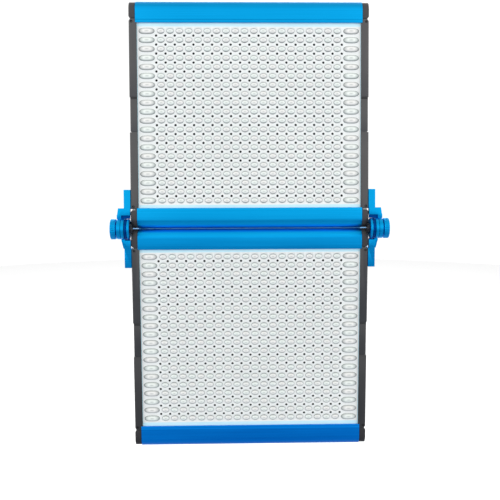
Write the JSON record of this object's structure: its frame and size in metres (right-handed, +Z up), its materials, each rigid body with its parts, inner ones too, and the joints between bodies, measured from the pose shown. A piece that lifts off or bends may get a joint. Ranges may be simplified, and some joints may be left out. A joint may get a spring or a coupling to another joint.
{
  "type": "led panel light",
  "caption": "Two flat LED panel heads hinged edge to edge, fold like a book and tilt on a flat-bar yoke with a stud receiver for a light stand.",
  "frame": {"origin": "centre of the mouth of the socket that drops on the stand's stud", "axes": "+Z up, the length of the two open heads; the heads face -Y; +X to the right as seen from the front"},
  "size_m": [0.3724, 0.2467, 0.6066],
  "materials": {
    "anodised_blue": "satin blue anodised extrusion with fine draw lines",
    "moulded_black": "satin black moulded plastic",
    "powder_black": "fine black powder coat",
    "lens_plastic": "moulded plate of domed lenses with vent holes between them",
    "led_board": "black solder mask under the lenses",
    "driver_board": "green solder mask with fitted parts",
    "bare_aluminium": "mill-finish aluminium",
    "black_oxide": "black oxide on steel",
    "zinc_steel": "bright zinc plate",
    "knob_black": "soft-touch black",
    "display_glass": "tinted display window"
  },
  "bodies": {
    "yoke": {"yoke": "anodised_blue", "stand_receiver": "powder_black", "receiver_bolt_left": "black_oxide", "receiver_bolt_right": "black_oxide"},
    "lower_head": {"lower_bottom_rail": "anodised_blue", "lower_top_rail": "anodised_blue", "lower_left_cover": "moulded_black", "lower_right_cover": "moulded_black", "lower_bottom_left_cap": "moulded_black", "lower_bottom_right_cap": "moulded_black", "lower_top_left_cap": "moulded_black", "lower_top_right_cap": "moulded_black", "lower_lens_plate": "lens_plastic", "lower_led_board": "led_board", "lower_heat_sink": "bare_aluminium", "lower_back_panel": "powder_black", "lower_rear_housing": "powder_black", "lower_driver_board": "driver_board", "lower_control_fascia": "moulded_black", "lower_display_window": "display_glass", "lower_power_inlet": "zinc_steel", "lower_hinge_plate_left": "anodised_blue", "hinge_stud_left": "black_oxide", "hinge_spacer_left": "anodised_blue", "lower_hinge_plate_right": "anodised_blue", "hinge_stud_right": "black_oxide", "hinge_spacer_right": "anodised_blue"},
    "upper_head": {"upper_bottom_rail": "anodised_blue", "upper_top_rail": "anodised_blue", "upper_left_cover": "moulded_black", "upper_right_cover": "moulded_black", "upper_bottom_left_cap": "moulded_black", "upper_bottom_right_cap": "moulded_black", "upper_top_left_cap": "moulded_black", "upper_top_right_cap": "moulded_black", "upper_lens_plate": "lens_plastic", "upper_led_board": "led_board", "upper_heat_sink": "bare_aluminium", "upper_back_panel": "powder_black", "upper_rear_housing": "powder_black", "upper_driver_board": "driver_board", "upper_control_fascia": "moulded_black", "upper_display_window": "display_glass", "upper_power_inlet": "zinc_steel", "upper_hinge_plate_left": "anodised_blue", "upper_hinge_plate_right": "anodised_blue"},
    "tilt_knob_left": {"tilt_knob_left": "anodised_blue"},
    "tilt_knob_right": {"tilt_knob_right": "anodised_blue"},
    "clamp_knob": {"receiver_clamp_knob": "knob_black"},
    "lower_dimmer": {"lower_dimmer_knob": "knob_black"},
    "lower_colour": {"lower_colour_knob": "knob_black"},
    "lower_switch": {"lower_power_switch": "knob_black"},
    "upper_dimmer": {"upper_dimmer_knob": "knob_black"},
    "upper_colour": {"upper_colour_knob": "knob_black"},
    "upper_switch": {"upper_power_switch": "knob_black"}
  },
  "joints": [
    {"name": "head_tilt", "type": "hinge", "parent": "yoke", "child": "lower_head", "pos_m": [0, -0.195, 0.05], "axis": [1, 0, 0], "range_deg": [-28, 20]},
    {"name": "head_fold", "type": "hinge", "parent": "lower_head", "child": "upper_head", "pos_m": [0, -0.195, 0.05], "axis": [1, 0, 0], "range_deg": [0, 183.8]},
    {"name": "tilt_knob_left_turn", "type": "hinge", "parent": "lower_head", "child": "tilt_knob_left", "pos_m": [-0.182, -0.195, 0.05], "axis": [-1, 0, 0], "continuous": true},
    {"name": "tilt_knob_right_turn", "type": "hinge", "parent": "lower_head", "child": "tilt_knob_right", "pos_m": [0.182, -0.195, 0.05], "axis": [1, 0, 0], "continuous": true},
    {"name": "clamp_turn", "type": "hinge", "parent": "yoke", "child": "clamp_knob", "pos_m": [0, 0.03, 0.02], "axis": [0, 1, 0], "continuous": true},
    {"name": "lower_dimmer_turn", "type": "hinge", "parent": "lower_head", "child": "lower_dimmer", "pos_m": [0.036, -0.1335, -0.1621], "axis": [0, -1, 0], "range_deg": [0, 300]},
    {"name": "lower_colour_turn", "type": "hinge", "parent": "lower_head", "child": "lower_colour", "pos_m": [0.063, -0.1335, -0.1621], "axis": [0, -1, 0], "range_deg": [0, 300]},
    {"name": "lower_switch_rock", "type": "hinge", "parent": "lower_head", "child": "lower_switch", "pos_m": [-0.036, -0.1395, -0.1621], "axis": [1, 0, 0], "range_deg": [0, 16]},
    {"name": "upper_dimmer_turn", "type": "hinge", "parent": "upper_head", "child": "upper_dimmer", "pos_m": [0.036, -0.12746, 0.13882], "axis": [0, -0.9978, 0.0663], "range_deg": [0, 300]},
    {"name": "upper_colour_turn", "type": "hinge", "parent": "upper_head", "child": "upper_colour", "pos_m": [0.063, -0.12746, 0.13882], "axis": [0, -0.9978, 0.0663], "range_deg": [0, 300]},
    {"name": "upper_switch_rock", "type": "hinge", "parent": "upper_head", "child": "upper_switch", "pos_m": [-0.036, -0.13345, 0.13922], "axis": [1, 0, 0], "range_deg": [0, 16]}
  ]
}
